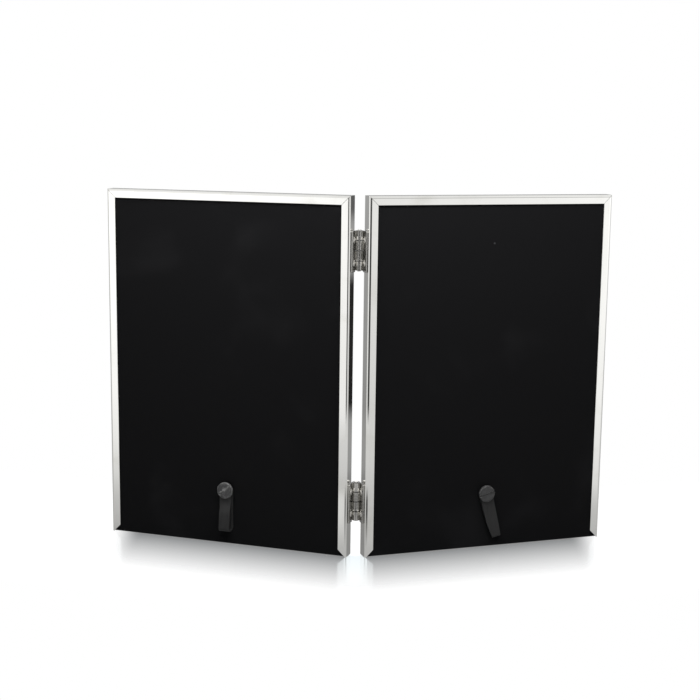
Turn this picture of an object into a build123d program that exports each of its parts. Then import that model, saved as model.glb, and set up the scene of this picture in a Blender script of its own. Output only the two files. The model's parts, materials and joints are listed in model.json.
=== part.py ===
# Hinged double photo frame: two slim metal frames on two butt hinges, standing in an open V.
# The back of each frame is a board that slides down and out of its channels, drawn by a
# strap loop on a screw post. The glass sides face +Y, the backs face -Y, +Z is up.
import os

from build123d import *

# Layers held in each frame, from the glass to the back
photo_width = 130.0
photo_height = 180.0
glass_thick = 2.0
insert_thick = 0.25
filler_thick = 0.8
board_thick = 2.4
facing_thick = 0.25

# Metal channel of the frames
metal = 0.9  # wall and lip thickness
lip_width = 4.6  # rim seen from the front or back
edge_chamfer = 0.85  # bevel along the outer edges
lip_break = 0.2  # small bevel along the free edge of a lip

# Room around the layers
side_room = 0.3  # glass and cards to the stile, each side
top_room = 1.6  # glass and cards to the top rail
slide_room = 0.15  # in front of and behind the sliding back
board_side_room = 0.25
board_top_room = 0.3
board_lift = 0.3  # lower edge of the back above the floor

# Hinges
hinge_length = 20.4
hinge_inset = 27.6  # hinge centre to the top or bottom of the frame
knuckle_count = 4
knuckle_radius = 2.1
knuckle_room = 0.2  # round a knuckle, to the other leaf and the frames
knuckle_gap = 0.1  # between neighbouring knuckles
front_setback = 0.4  # hinge axis to the plane of the front lips
leaf_thick = 0.8
leaf_width = 6.4  # hinge axis to the leaf's free edge
leaf_corner = 0.6
pin_radius = 0.95
pin_room = 0.05
pin_crown = 0.2  # end of the pin beyond the knuckles
rivet_spacing = 11.4
rivet_depth = 3.4  # hinge axis to the rivets
rivet_radius = 0.8
rivet_room = 0.04
rivet_head_radius = 1.25
rivet_head_height = 0.5

# Screw post of the strap loop
post_height = 29.2  # above the floor
post_radius = 2.0
post_room = 0.1
post_flange_radius = 4.0
post_flange_thick = 0.7
bore_floor = 0.6  # closed end of the threaded bore
head_radius = 4.3
head_thick = 1.3
head_bevel = 0.35
slot_width = 1.1
slot_depth = 0.6
slot_turn = {"left": 45.0, "right": 15.0}
shank_radius = 1.25
shank_room = 0.05  # to the bore's wall
shank_tip_room = 0.3  # to the bore's floor

# Folded strap loop
strap_width = 7.4
strap_thick = 0.8
strap_reach = 23.4  # post to the fold
strap_room = 0.05  # under the strap and under the screw head
strap_corner = 0.8
fold_radius = 1.6  # outside of the fold
clamp_margin = 0.5  # flat part of the strap beyond the screw head
loop_turn = {"left": 0.0, "right": 13.5}

# Pose: each frame is turned back from flat by this angle
fold_turn = 18.0

# Sizes that follow
frame_width = photo_width + 2 * (side_room + metal)
frame_height = photo_height + top_room + 2 * metal
glass_front = metal
insert_front = glass_front + glass_thick
filler_front = insert_front + insert_thick
floor_depth = filler_front + filler_thick
board_front = floor_depth + slide_room
facing_front = board_front + board_thick
facing_back = facing_front + facing_thick
frame_depth = facing_back + slide_room + metal
wall_reach = knuckle_radius + knuckle_room
frame_middle = wall_reach + frame_width / 2
knuckle_length = hinge_length / knuckle_count
hinge_heights = {"upper": frame_height - hinge_inset, "lower": hinge_inset}
strap_stack = 2 * strap_thick + 2 * strap_room
post_length = board_thick + facing_thick + strap_stack
bore_depth = post_length - bore_floor

# Every part is drawn with the pair opened flat, the hinge axis on Z and the backs to -Y.
# A right-hand part lies at +X, and its left-hand twin is a mirror image unless drawn apart.
back_way = Vector(0, -1, 0)
side_sign = {"left": -1, "right": 1}


def depth_plane(depth):
    # Upright plane facing the back, at a depth behind the front lips; X right, Y up.
    return Plane.XZ.offset(front_setback + depth)


def mirrored(shape, side):
    return mirror(shape, about=Plane.YZ) if side == "left" else shape


def full_section():
    # U-channel: first value inward from the outer wall, second from the front to the back.
    return Polygon(
        (edge_chamfer, 0),
        (lip_width - lip_break, 0),
        (lip_width, lip_break),
        (lip_width, metal),
        (metal, metal),
        (metal, frame_depth - metal),
        (lip_width, frame_depth - metal),
        (lip_width, frame_depth - lip_break),
        (lip_width - lip_break, frame_depth),
        (edge_chamfer, frame_depth),
        (0, frame_depth - edge_chamfer),
        (0, edge_chamfer),
        align=None,
    )


def floor_section():
    # L-channel of the bottom: front lip and floor, open behind for the sliding back.
    return Polygon(
        (edge_chamfer, 0),
        (lip_width - lip_break, 0),
        (lip_width, lip_break),
        (lip_width, metal),
        (metal, metal),
        (metal, floor_depth),
        (0, floor_depth),
        (0, edge_chamfer),
        align=None,
    )


def mitred_rail(section, corner, inward, length, outline):
    # Channel drawn from a corner of the frame, then cut to its mitred outline.
    corner_point = Vector(wall_reach + corner[0], -front_setback, corner[1])
    section_plane = Plane(corner_point, x_dir=inward, z_dir=inward.cross(back_way))
    channel = extrude(section_plane * section, length)
    points = [(wall_reach + across, height) for across, height in outline]
    mitres = extrude(depth_plane(0) * Polygon(*points, align=None), frame_depth)
    return channel & mitres


def frame_rails():
    # The four channels of a right-hand frame; places are (across from the hinge side, height).
    left_in = lip_width
    right_in = frame_width - lip_width
    low_in = lip_width
    high_in = frame_height - lip_width
    hinge_stile = mitred_rail(
        full_section(),
        (0, frame_height),
        Vector(1, 0, 0),
        frame_height,
        [(0, 0), (left_in, low_in), (left_in, high_in), (0, frame_height)],
    )
    outer_stile = mitred_rail(
        full_section(),
        (frame_width, 0),
        Vector(-1, 0, 0),
        frame_height,
        [(frame_width, 0), (frame_width, frame_height), (right_in, high_in), (right_in, low_in)],
    )
    top_rail = mitred_rail(
        full_section(),
        (frame_width, frame_height),
        Vector(0, 0, -1),
        frame_width,
        [(0, frame_height), (left_in, high_in), (right_in, high_in), (frame_width, frame_height)],
    )
    bottom_rail = mitred_rail(
        floor_section(),
        (0, 0),
        Vector(0, 0, 1),
        frame_width,
        [(0, 0), (frame_width, 0), (right_in, low_in), (left_in, low_in)],
    )
    for height in hinge_heights.values():
        for hole_height in rivet_heights(height):
            hinge_stile -= rivet_hole(hole_height)
    return {
        "hinge_stile": hinge_stile,
        "outer_stile": outer_stile,
        "top_rail": top_rail,
        "bottom_rail": bottom_rail,
    }


def layer(width, low, high, front, thick):
    # Flat sheet across the middle of a right-hand frame.
    middle = Pos(frame_middle, (low + high) / 2)
    return extrude(depth_plane(front) * (middle * Rectangle(width, high - low)), thick)


def post_disc(radius, front, thick):
    # Round piece on the axis of the screw post.
    return extrude(depth_plane(front) * (Pos(frame_middle, post_height) * Circle(radius)), thick)


def fixed_layers():
    # Glass, insert and filler stand on the floor of the bottom rail.
    low = metal
    high = metal + photo_height
    return {
        "glass": layer(photo_width, low, high, glass_front, glass_thick),
        "photo_insert": layer(photo_width, low, high, insert_front, insert_thick),
        "filler_card": layer(photo_width, low, high, filler_front, filler_thick),
    }


def sliding_back():
    # Board and facing, with the hole of the post and the seat of its flange.
    width = frame_width - 2 * (metal + board_side_room)
    high = frame_height - metal - board_top_room
    hole = post_disc(post_radius + post_room, board_front, board_thick + facing_thick)
    seat = post_disc(post_flange_radius + post_room, board_front, post_flange_thick)
    board = layer(width, board_lift, high, board_front, board_thick)
    facing = layer(width, board_lift, high, facing_front, facing_thick)
    return {"back_board": board - hole - seat, "back_facing": facing - hole}


def tab_post():
    # Barrel nut: its flange lies flush in the board and its barrel carries the strap.
    flange = post_disc(post_flange_radius, board_front, post_flange_thick)
    barrel = post_disc(post_radius, board_front, post_length)
    bore = post_disc(shank_radius + shank_room, board_front + bore_floor, bore_depth)
    return flange + barrel - bore


def on_post(shape, side):
    # Shape drawn on the facing at the post: X right, Y up, Z out of the back.
    post_plane = Plane(
        origin=(side_sign[side] * frame_middle, -front_setback - facing_back, post_height),
        x_dir=(1, 0, 0),
        z_dir=back_way,
    )
    return post_plane.location * shape


def tab_screw(side):
    # Slotted head on the end of the barrel, with its shank in the bore.
    head = extrude(Circle(head_radius), head_thick)
    head = chamfer(head.edges().group_by(Axis.Z)[-1], head_bevel)
    slot = Pos(0, 0, head_thick) * Box(3 * head_radius, slot_width, 2 * slot_depth)
    head -= Rot(0, 0, slot_turn[side]) * slot
    shank = extrude(Circle(shank_radius), -(bore_depth - shank_tip_room))
    return on_post(Pos(0, 0, strap_stack) * (head + shank), side)


def pull_loop(side):
    # Strap folded on itself: both ends lie flat on the post, the fold stands a little open.
    low = strap_room
    seam = low + strap_thick
    clamp_top = seam + strap_thick
    fold_top = low + 2 * fold_radius
    fold_middle = low + fold_radius
    fold_start = strap_reach - fold_radius
    clamp_end = head_radius + clamp_margin
    top_end = strap_width / 2
    inner_radius = fold_radius - strap_thick
    outside = [
        Polyline((fold_start, fold_top), (clamp_end, clamp_top), (-top_end, clamp_top)),
        Polyline((-top_end, clamp_top), (-top_end, low), (fold_start, low)),
        ThreePointArc((fold_start, low), (strap_reach, fold_middle), (fold_start, fold_top)),
    ]
    inside = [
        Polyline((fold_start, fold_top - strap_thick), (clamp_end, seam), (fold_start, seam)),
        ThreePointArc(
            (fold_start, seam),
            (fold_start + inner_radius, fold_middle),
            (fold_start, fold_top - strap_thick),
        ),
    ]
    side_view = make_face(Curve() + outside) - make_face(Curve() + inside)
    down_plane = Plane((0, 0, 0), x_dir=(0, -1, 0), z_dir=(-1, 0, 0))
    folded = extrude(down_plane * side_view, strap_width / 2, both=True)
    straight = Pos(0, -strap_reach / 2) * Rectangle(strap_width, strap_reach)
    straight = fillet(straight.vertices().group_by(Axis.Y)[0], strap_corner)
    outline = extrude(straight + Circle(strap_width / 2), fold_top)
    hole = extrude(Circle(post_radius + post_room), fold_top)
    loop = (folded & outline) - hole
    return on_post(Rot(0, 0, loop_turn[side]) * loop, side)


def rivet_heights(hinge_height):
    return [hinge_height - rivet_spacing / 2, hinge_height + rivet_spacing / 2]


def across_leaf(radius, height, start, end):
    # Round piece through the right-hand leaf and stile wall, between two distances from the axis.
    plane = Plane((start, -rivet_depth, height), x_dir=(0, 1, 0), z_dir=(1, 0, 0))
    return extrude(plane * Circle(radius), end - start)


def rivet_hole(height):
    return across_leaf(rivet_radius + rivet_room, height, 0, wall_reach + metal)


def rivet(height):
    # Domed head on the leaf and a shank that ends flush inside the stile wall.
    seat = wall_reach - leaf_thick
    dome_radius = (rivet_head_radius**2 + rivet_head_height**2) / (2 * rivet_head_height)
    dome = Pos(seat - rivet_head_height + dome_radius, -rivet_depth, height) * Sphere(dome_radius)
    head = across_leaf(rivet_head_radius, height, seat - rivet_head_height, seat) & dome
    return head + across_leaf(rivet_radius, height, seat, wall_reach + metal)


def knuckle(radius, height, index, end_room):
    # Cylinder on the hinge axis at one knuckle's place, counted from the top.
    top = height + hinge_length / 2 - index * knuckle_length
    low = top - knuckle_length + end_room
    return extrude(Pos(0, 0, low) * Circle(radius), knuckle_length - 2 * end_room)


def hinge_leaf(side, height):
    # Plate on the stile wall; the left leaf has the first knuckle, the right leaf the second.
    plate = extrude(
        Plane((wall_reach - leaf_thick, 0, height), x_dir=(0, -1, 0), z_dir=(1, 0, 0))
        * (Pos(leaf_width / 2, 0) * Rectangle(leaf_width, hinge_length)),
        leaf_thick,
    )
    free_corners = plate.edges().filter_by(Axis.X).group_by(Axis.Y)[0]
    plate = fillet(free_corners, leaf_corner)
    for hole_height in rivet_heights(height):
        plate -= rivet_hole(hole_height)
    plate = mirrored(plate, side)
    first = 0 if side == "left" else 1
    for index in range(knuckle_count):
        if index % 2 == first:
            plate += knuckle(knuckle_radius, height, index, knuckle_gap / 2)
        else:
            plate -= knuckle(knuckle_radius + knuckle_room, height, index, -knuckle_gap / 2)
    bore_length = hinge_length + 2 * pin_crown
    bore = Pos(0, 0, height) * Cylinder(pin_radius + pin_room, bore_length)
    return plate - bore


def hinge_pin(height):
    pin = Cylinder(pin_radius, hinge_length + 2 * pin_crown)
    ends = pin.edges().filter_by(GeomType.CIRCLE)
    return Pos(0, 0, height) * chamfer(ends, pin_crown)


# All the parts by name, drawn flat, each with the side that it turns with
parts = {}
for side in side_sign:
    for group in (frame_rails(), fixed_layers(), sliding_back(), {"tab_post": tab_post()}):
        for name, shape in group.items():
            parts[f"{side}_{name}"] = (mirrored(shape, side), side)
    parts[f"{side}_tab_screw"] = (tab_screw(side), side)
    parts[f"{side}_pull_loop"] = (pull_loop(side), side)
for place, height in hinge_heights.items():
    parts[f"{place}_hinge_pin"] = (hinge_pin(height), "left")
    for side in side_sign:
        parts[f"{place}_hinge_{side}_leaf"] = (hinge_leaf(side, height), side)
        pair = [mirrored(rivet(at), side) for at in rivet_heights(height)]
        parts[f"{place}_hinge_{side}_rivets"] = (Compound(pair), side)

# Fold to the V, then put the origin at the bottom centre of the whole
folded = {}
for name, (shape, side) in parts.items():
    folded[name] = Rot(0, 0, side_sign[side] * fold_turn) * shape
whole = Compound(list(folded.values())).bounding_box()
to_origin = Pos(-whole.center().X, -whole.center().Y, -whole.min.Z)

os.makedirs("parts", exist_ok=True)
for name, shape in folded.items():
    export_step(to_origin * shape, f"parts/{name}.step")

hinge_axis = to_origin.position
print("frame", frame_width, frame_height, frame_depth)
print("whole", whole.size)
print("hinge axis", hinge_axis)
for side, sign in side_sign.items():
    turn = to_origin * Rot(0, 0, sign * fold_turn)
    post_point = turn * Pos(sign * frame_middle, -front_setback - facing_back, post_height)
    rail_point = turn * Pos(sign * frame_middle, -front_setback - floor_depth / 2, 0)
    outward = back_way.rotate(Axis.Z, sign * fold_turn)
    print(side, "post", post_point.position, "axis", outward)
    print(side, "bottom rail", rail_point.position)
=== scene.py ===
import json
import math

import bmesh
import bpy
from mathutils import Matrix, Vector


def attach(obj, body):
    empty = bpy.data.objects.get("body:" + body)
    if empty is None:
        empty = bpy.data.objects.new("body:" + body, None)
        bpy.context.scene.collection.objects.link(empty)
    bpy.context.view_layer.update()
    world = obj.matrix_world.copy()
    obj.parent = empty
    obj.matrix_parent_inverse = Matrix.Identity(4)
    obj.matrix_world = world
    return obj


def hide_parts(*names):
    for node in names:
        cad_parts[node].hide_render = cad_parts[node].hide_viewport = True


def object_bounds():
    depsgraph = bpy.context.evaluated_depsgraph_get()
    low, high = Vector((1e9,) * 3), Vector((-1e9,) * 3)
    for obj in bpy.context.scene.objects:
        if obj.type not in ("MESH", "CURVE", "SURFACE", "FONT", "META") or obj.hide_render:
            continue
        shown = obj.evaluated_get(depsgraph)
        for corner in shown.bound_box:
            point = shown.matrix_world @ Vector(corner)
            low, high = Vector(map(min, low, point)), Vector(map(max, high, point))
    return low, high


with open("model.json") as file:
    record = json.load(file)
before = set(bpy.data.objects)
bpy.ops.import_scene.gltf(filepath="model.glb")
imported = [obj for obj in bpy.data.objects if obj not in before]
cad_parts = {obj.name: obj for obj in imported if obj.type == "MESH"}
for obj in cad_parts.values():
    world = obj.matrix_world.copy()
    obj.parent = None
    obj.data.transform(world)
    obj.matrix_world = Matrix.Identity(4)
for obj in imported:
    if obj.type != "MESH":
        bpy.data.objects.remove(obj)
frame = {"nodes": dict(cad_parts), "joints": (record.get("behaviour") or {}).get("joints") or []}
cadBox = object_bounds()
mm = 0.001
tiny = 0.01 * mm  # how near a point counts as on a plane
flatFacing = 0.99  # share of a normal or an edge that lies along an axis
nearlyFacing = 0.9
mitreFacing = 0.5
allBlack = (0, 0, 0, 1)
allWhite = (1, 1, 1, 1)


def jointNamed(name):
    return next(joint for joint in frame["joints"] if joint["name"] == name)


hingeAxis = Vector(jointNamed("frame_hinge")["pos_m"])
hingeAxis.z = 0
outwardAxis = Vector(jointNamed("right_loop_swivel")["axis"])
foldTurn = math.atan2(outwardAxis.x, -outwardAxis.y)
sides = {"left": -1, "right": 1}
places = ("upper", "lower")


# Pieces are drawn with the pair opened flat: hinge axis on Z, backs to -Y, right frame at +X.
def turnedOut(side):
    return Matrix.Translation(hingeAxis) @ Matrix.Rotation(sides[side] * foldTurn, 4, "Z")


def standing(side):
    return turnedOut(side) @ Matrix.Diagonal((sides[side], 1, 1, 1))


def flatBox(node, side="right"):
    back = standing(side).inverted()
    points = [back @ vertex.co for vertex in frame["nodes"][node].data.vertices]
    low = Vector([min(point[axis] for point in points) for axis in range(3)])
    high = Vector([max(point[axis] for point in points) for axis in range(3)])
    return low, high


# Modelling helpers
def leaveEdit():
    bpy.ops.object.mode_set(mode="OBJECT")


def clearSelection():
    if bpy.context.mode != "OBJECT":
        leaveEdit()
    bpy.ops.object.select_all(action="DESELECT")


def makeActive(piece):
    clearSelection()
    piece.select_set(True)
    bpy.context.view_layer.objects.active = piece


def applyPlace():
    bpy.ops.object.transform_apply(location=True, rotation=True, scale=True)


def named(name):
    piece = bpy.context.object
    piece.name = name
    piece.data.name = name
    return piece


def addBlock(name, low, high):
    clearSelection()
    low, high = Vector(low), Vector(high)
    bpy.ops.mesh.primitive_cube_add(size=1, location=(low + high) / 2, scale=high - low)
    applyPlace()
    return named(name)


def addRound(name, radius, low, high, facets=64):
    clearSelection()
    middle = (0, 0, (low + high) / 2)
    bpy.ops.mesh.primitive_cylinder_add(
        vertices=facets, radius=radius, depth=high - low, location=middle
    )
    applyPlace()
    return named(name)


def editPiece(piece):
    makeActive(piece)
    bpy.ops.object.mode_set(mode="EDIT")


def pick(kind, test):
    modes = {"faces": "FACE", "edges": "EDGE", "verts": "VERT"}
    bpy.ops.mesh.select_mode(type=modes[kind])
    bpy.ops.mesh.select_all(action="DESELECT")
    mesh = bmesh.from_edit_mesh(bpy.context.edit_object.data)
    mesh.normal_update()
    for element in getattr(mesh, kind):
        if test(element):
            element.select_set(True)
    mesh.select_flush_mode()
    bmesh.update_edit_mesh(bpy.context.edit_object.data)


def pickAll():
    bpy.ops.mesh.select_all(action="SELECT")


def middleOf(edge):
    return (edge.verts[0].co + edge.verts[1].co) / 2


def lowestOf(edge):
    return min(vert.co.z for vert in edge.verts)


def runsAlong(edge, axis):
    span = edge.verts[0].co - edge.verts[1].co
    return abs(span[axis]) > flatFacing * span.length


def cutAcross(point, normal, dropOuter=False, fill=False):
    pickAll()
    bpy.ops.mesh.bisect(plane_co=point, plane_no=normal, use_fill=fill, clear_outer=dropOuter)


def pullOut(offset):
    bpy.ops.mesh.extrude_region_move(TRANSFORM_OT_translate={"value": offset})


def bevelPicked(width, steps=1):
    bpy.ops.mesh.bevel(offset=width, segments=steps, affect="EDGES")


def insetPicked(width, depth=0):
    bpy.ops.mesh.inset(thickness=width, depth=depth)


def mergeDoubles():
    pickAll()
    bpy.ops.mesh.remove_doubles(threshold=tiny)


def dissolveFlat():
    bpy.ops.mesh.dissolve_limited(angle_limit=math.radians(1))


def applied(piece, kind, **values):
    makeActive(piece)
    modifier = piece.modifiers.new(kind.lower(), kind)
    for key, value in values.items():
        setattr(modifier, key, value)
    bpy.ops.object.modifier_apply(modifier=modifier.name)


def softened(piece, width, steps=2, clamp=True, angle=28):
    applied(
        piece, "BEVEL", width=width, segments=steps, limit_method="ANGLE",
        angle_limit=math.radians(angle), use_clamp_overlap=clamp,
    )


def shaded(piece, angle=40, weight=80):
    makeActive(piece)
    bpy.ops.object.shade_smooth_by_angle(angle=math.radians(angle))
    applied(piece, "WEIGHTED_NORMAL", weight=weight, keep_sharp=True, thresh=0)


def merged(piece, other, operation):
    applied(piece, "BOOLEAN", object=other, operation=operation, solver="EXACT")
    bpy.data.objects.remove(other)
    editPiece(piece)
    mergeDoubles()
    leaveEdit()


def moved(piece, matrix):
    makeActive(piece)
    piece.matrix_world = matrix
    applyPlace()
    if matrix.determinant() < 0:
        editPiece(piece)
        pickAll()
        bpy.ops.mesh.normals_make_consistent(inside=False)
        leaveEdit()
    return piece


def copied(piece, name):
    makeActive(piece)
    bpy.ops.object.duplicate(linked=False)
    return named(name)


def joined(pieces, name):
    clearSelection()
    for piece in pieces:
        piece.select_set(True)
    bpy.context.view_layer.objects.active = pieces[0]
    bpy.ops.object.join()
    return named(name)


def handIn(piece, node, body, material):
    shaded(piece)
    piece.data.materials.clear()
    piece.data.materials.append(material)
    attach(piece, body)
    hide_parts(node)


# Node helpers
def feed(tree, node, inputs):
    for key, value in inputs.items():
        if isinstance(value, bpy.types.NodeSocket):
            tree.links.new(value, node.inputs[key])
        else:
            node.inputs[key].default_value = value


def addNode(tree, kind, inputs=None, **settings):
    node = tree.nodes.new(kind)
    for key, value in settings.items():
        setattr(node, key, value)
    feed(tree, node, inputs or {})
    return node


def newGroup(name, amounts, results):
    tree = bpy.data.node_groups.new(name, "ShaderNodeTree")
    sockets = tree.interface
    sockets.new_socket("Vector", in_out="INPUT", socket_type="NodeSocketVector")
    for label in amounts:
        sockets.new_socket(label, in_out="INPUT", socket_type="NodeSocketFloat")
    for label in results:
        sockets.new_socket(label, in_out="OUTPUT", socket_type="NodeSocketFloat")
    given = tree.nodes.new("NodeGroupInput").outputs
    return tree, given, tree.nodes.new("NodeGroupOutput")


def placeGroup(tree, group, place, values):
    return addNode(tree, "ShaderNodeGroup", {"Vector": place, **values}, node_tree=group).outputs


def newMaterial(name, sockets=None):
    material = bpy.data.materials.new(name)
    material.use_nodes = True
    tree = material.node_tree
    shader = tree.nodes["Principled BSDF"]
    feed(tree, shader, sockets or {})
    place = addNode(tree, "ShaderNodeTexCoord").outputs["Object"]
    return material, tree, shader, place


def mixColour(tree, factor, first, second, blend="MIX"):
    inputs = {0: factor, 6: first, 7: second}  # the colour sockets of the Mix node
    return addNode(tree, "ShaderNodeMix", inputs, data_type="RGBA", blend_type=blend).outputs[2]


def maths(tree, operation, first, second=0.0, third=0.0):
    inputs = {0: first, 1: second, 2: third}
    return addNode(tree, "ShaderNodeMath", inputs, operation=operation).outputs[0]


def product(tree, first, *others):
    for other in others:
        first = maths(tree, "MULTIPLY", first, other)
    return first


def spread(tree, value, low, high, first=0.0, second=1.0, smooth=False):
    inputs = {"Value": value, "From Min": low, "From Max": high, "To Min": first, "To Max": second}
    kind = "SMOOTHSTEP" if smooth else "LINEAR"
    return addNode(tree, "ShaderNodeMapRange", inputs, interpolation_type=kind).outputs["Result"]


def ramped(tree, factor, stops):
    node = addNode(tree, "ShaderNodeValToRGB", {"Fac": factor})
    elements = node.color_ramp.elements
    ends = [elements[0]] + [elements.new(spot) for spot, level in stops[1:-1]] + [elements[-1]]
    for element, (spot, level) in zip(ends, stops):
        element.position = spot
        element.color = (level, level, level, 1)
    return node.outputs["Color"]


def byDistance(tree, distance, stops):
    farthest = stops[-1][0]
    share = maths(tree, "DIVIDE", distance, farthest)
    return ramped(tree, share, [(metres / farthest, level) for metres, level in stops])


def laid(tree, place, scale, turn=(0, 0, 0), shift=(0, 0, 0)):
    inputs = {"Vector": place, "Scale": scale, "Rotation": turn, "Location": shift}
    return addNode(tree, "ShaderNodeMapping", inputs).outputs["Vector"]


def splitPlace(tree, place):
    return addNode(tree, "ShaderNodeSeparateXYZ", {"Vector": place}).outputs


def lengthOf(tree, place):
    return addNode(tree, "ShaderNodeVectorMath", {0: place}, operation="LENGTH").outputs["Value"]


def noise(tree, place, scale, detail, **more):
    inputs = {"Vector": place, "Scale": scale, "Detail": detail, **more}
    return addNode(tree, "ShaderNodeTexNoise", inputs).outputs["Fac"]


def bumped(tree, shader, height, strength, distance):
    inputs = {"Height": height, "Strength": strength, "Distance": distance}
    feed(tree, shader, {"Normal": addNode(tree, "ShaderNodeBump", inputs).outputs["Normal"]})


def closure(tree, kind, inputs=None):
    return addNode(tree, kind, inputs).outputs[0]


def mixShader(tree, factor, first, second):
    return closure(tree, "ShaderNodeMixShader", {0: factor, 1: first, 2: second})


# Surface effects that several finishes share
def makeHairlines():
    tree, given, out = newGroup("hairlines", ("Scale", "Low", "High"), ("Mask", "Height"))
    lines = noise(tree, given["Vector"], given["Scale"], 4.0, Roughness=0.65)
    feed(tree, out, {"Mask": spread(tree, lines, given["Low"], given["High"]), "Height": lines})
    return tree


def makeSmudges():
    tree, given, out = newGroup("smudges", ("Scale", "Low", "High"), ("Mask",))
    clouds = noise(tree, given["Vector"], given["Scale"], 3.0, Roughness=0.5, Distortion=0.4)
    feed(tree, out, {"Mask": spread(tree, clouds, given["Low"], given["High"], smooth=True)})
    return tree


def makeDustSpecks():
    tree, given, out = newGroup("dustSpecks", ("Spacing", "Size", "Share"), ("Mask",))
    cells = addNode(
        tree, "ShaderNodeTexVoronoi", {"Vector": given["Vector"], "Scale": given["Spacing"]}
    ).outputs
    chance = addNode(tree, "ShaderNodeSeparateColor", {"Color": cells["Color"]}).outputs
    kept = maths(tree, "LESS_THAN", chance[0], given["Share"])
    ownSize = product(tree, chance[1], given["Size"])
    near = maths(tree, "LESS_THAN", cells["Distance"], ownSize)
    feed(tree, out, {"Mask": product(tree, kept, near)})
    return tree


def makeEdgeWear(patchFrom=0.35, patchTo=0.65):
    tree, given, out = newGroup("edgeWear", ("Low", "High", "Scale"), ("Mask",))
    edges = addNode(tree, "ShaderNodeNewGeometry").outputs["Pointiness"]
    ridge = spread(tree, edges, given["Low"], given["High"])
    broken = noise(tree, given["Vector"], given["Scale"], 3.0)
    feed(tree, out, {"Mask": product(tree, ridge, spread(tree, broken, patchFrom, patchTo))})
    return tree


# stretch and turn of each layer of fibres, and the heights that show
fibreLayers = (((1, 1, 0.14), 0.5), ((0.14, 1, 1), -0.4), ((0.5, 1, 0.2), 1.1))
fibreTops = (0.5, 0.8)


def makeFibres():
    tree, given, out = newGroup("fibres", ("Scale",), ("Mask", "Height"))
    top = None
    for scale, turn in fibreLayers:
        strands = noise(
            tree, laid(tree, given["Vector"], scale, (0, turn, 0)), given["Scale"], 3.0
        )
        top = strands if top is None else maths(tree, "MAXIMUM", top, strands)
    feed(tree, out, {"Mask": spread(tree, top, *fibreTops), "Height": top})
    return tree


hairlines = makeHairlines()
smudges = makeSmudges()
dustSpecks = makeDustSpecks()
edgeWear = makeEdgeWear()
fibres = makeFibres()
print("shared surface effects ready")


# Finishes
silver = {
    "clean": (0.93, 0.926, 0.897, 1),
    "dulled": (0.84, 0.832, 0.788, 1),
    "speck": (0.6, 0.58, 0.55, 1),
    "upright": (1, 1, 0.02),  # fine lines of the polish run along the channel
    "across": (0.02, 0.02, 1),
    "lines": {"Scale": 2600.0, "Low": 0.56, "High": 0.8},
    "haze": {"Scale": 55.0, "Low": 0.5, "High": 0.8},
    "specks": {"Spacing": 260.0, "Size": 0.07, "Share": 0.12},
    "rough": 0.05,
    "hazeRough": 0.07,
    "lineRough": 0.08,
    "waves": 70.0,  # faint unevenness of the polish
    "lineHeight": 0.02,
    "bump": (0.25, 0.02 * mm),
}


def polishedSilver(name, grain):
    material, tree, shader, place = newMaterial(name, {"Metallic": 1.0})
    lines = placeGroup(tree, hairlines, laid(tree, place, grain), silver["lines"])
    haze = placeGroup(tree, smudges, place, silver["haze"])["Mask"]
    specks = placeGroup(tree, dustSpecks, place, silver["specks"])["Mask"]
    colour = mixColour(tree, haze, silver["clean"], silver["dulled"])
    colour = mixColour(tree, specks, colour, silver["speck"])
    rough = maths(tree, "MULTIPLY_ADD", haze, silver["hazeRough"], silver["rough"])
    rough = maths(tree, "MULTIPLY_ADD", lines["Mask"], silver["lineRough"], rough)
    feed(tree, shader, {"Base Color": colour, "Roughness": rough})
    waves = noise(tree, place, silver["waves"], 1.0)
    height = maths(tree, "MULTIPLY_ADD", lines["Height"], silver["lineHeight"], waves)
    bumped(tree, shader, height, *silver["bump"])
    return material


facing = {
    "black": (0.0047, 0.0047, 0.0050, 1),
    "rubbed": (0.0072, 0.0072, 0.0076, 1),
    "lint": (0.035, 0.035, 0.036, 1),
    "gloss": 0.017,
    "grain": 1500.0,
    "touches": {"Scale": 26.0, "Low": 0.55, "High": 0.8},
    "lintSpecks": {"Spacing": 75.0, "Size": 0.045, "Share": 0.2},
    "rough": 0.28,
    "grainRough": 0.2,
    "bump": (0.3, 0.03 * mm),
}


def blackFacing():
    material, tree, shader, place = newMaterial(
        "blackFacing", {"Specular IOR Level": facing["gloss"]}
    )
    grain = noise(tree, place, facing["grain"], 4.0)
    touched = placeGroup(tree, smudges, place, facing["touches"])["Mask"]
    lint = placeGroup(tree, dustSpecks, place, facing["lintSpecks"])["Mask"]
    colour = mixColour(tree, touched, facing["black"], facing["rubbed"])
    colour = mixColour(tree, lint, colour, facing["lint"])
    rough = maths(tree, "MULTIPLY_ADD", grain, facing["grainRough"], facing["rough"])
    feed(tree, shader, {"Base Color": colour, "Roughness": rough})
    bumped(tree, shader, grain, *facing["bump"])
    return material


steel = {
    "bright": (0.96, 0.95, 0.92, 1),
    "marked": (0.80, 0.78, 0.74, 1),
    "marks": {"Scale": 900.0, "Low": 0.5, "High": 0.75},
    "rough": 0.28,
    "markRough": 0.12,
}


def brightSteel():
    material, tree, shader, place = newMaterial("brightSteel", {"Metallic": 1.0})
    marks = placeGroup(tree, smudges, place, steel["marks"])["Mask"]
    colour = mixColour(tree, marks, steel["bright"], steel["marked"])
    rough = maths(tree, "MULTIPLY_ADD", marks, steel["markRough"], steel["rough"])
    feed(tree, shader, {"Base Color": colour, "Roughness": rough})
    return material


screwBlack = {
    "coat": (0.021, 0.021, 0.0215, 1),
    "scuffed": (0.068, 0.068, 0.068, 1),
    "bare": (0.30, 0.30, 0.295, 1),
    "bareMetal": 0.8,
    "gloss": 0.4,
    "marks": {"Scale": 750.0, "Low": 0.42, "High": 0.7},
    "worn": {"Low": 0.51, "High": 0.57, "Scale": 800.0},
    "rough": 0.34,
    "markRough": 0.18,
    "bump": (0.2, 0.03 * mm),
}


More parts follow.
